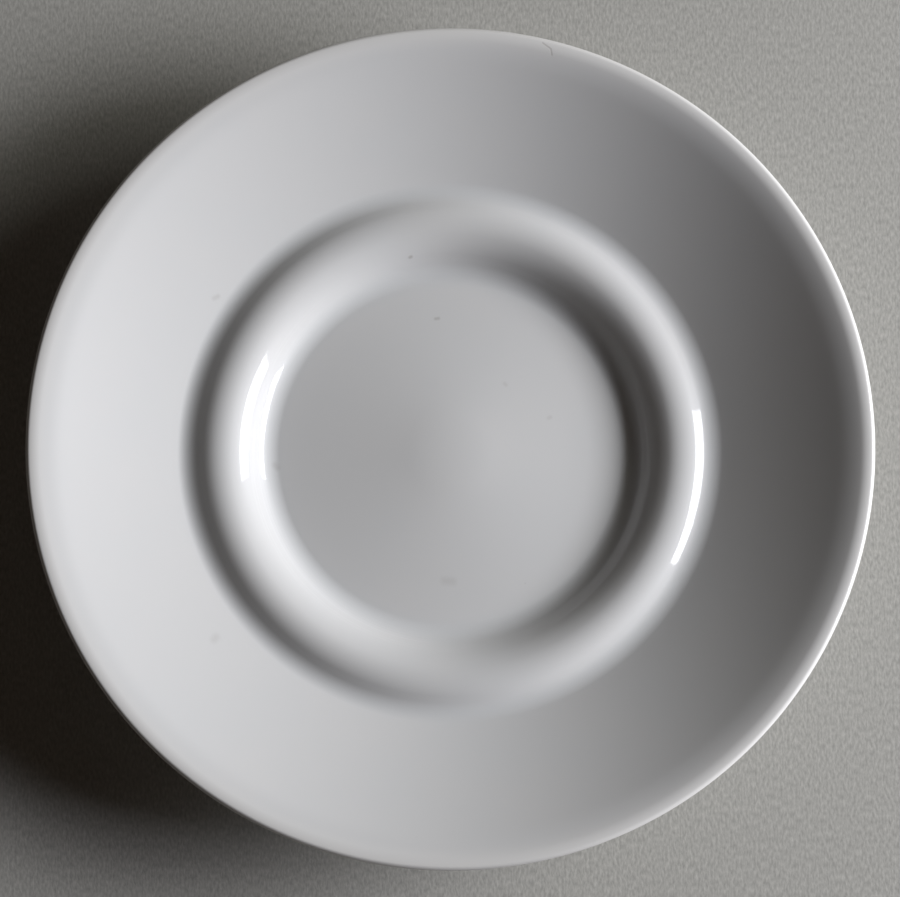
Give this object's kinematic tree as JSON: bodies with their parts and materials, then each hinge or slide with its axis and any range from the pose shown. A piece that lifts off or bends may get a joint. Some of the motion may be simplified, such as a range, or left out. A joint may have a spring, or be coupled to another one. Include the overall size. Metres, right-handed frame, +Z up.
{
  "type": "saucer",
  "caption": "Round white porcelain saucer with a raised ring round a shallow cup well, a wide rising flange and a bare foot ring; it carries a cup and catches drips.",
  "frame": {"origin": "centre of the foot ring, on the plane that the saucer stands on", "axes": "+Z up along the axis that the saucer is turned round; X and Y lie in the plane of the foot and are alike"},
  "size_m": [0.15, 0.15, 0.021],
  "materials": {
    "bare_porcelain": "unglazed, fine and matt",
    "white_glaze": "clear gloss glaze over white porcelain"
  },
  "bodies": {
    "root": {"porcelain_body": "bare_porcelain", "glaze_coat": "white_glaze", "base_glaze": "white_glaze"}
  },
  "joints": []
}
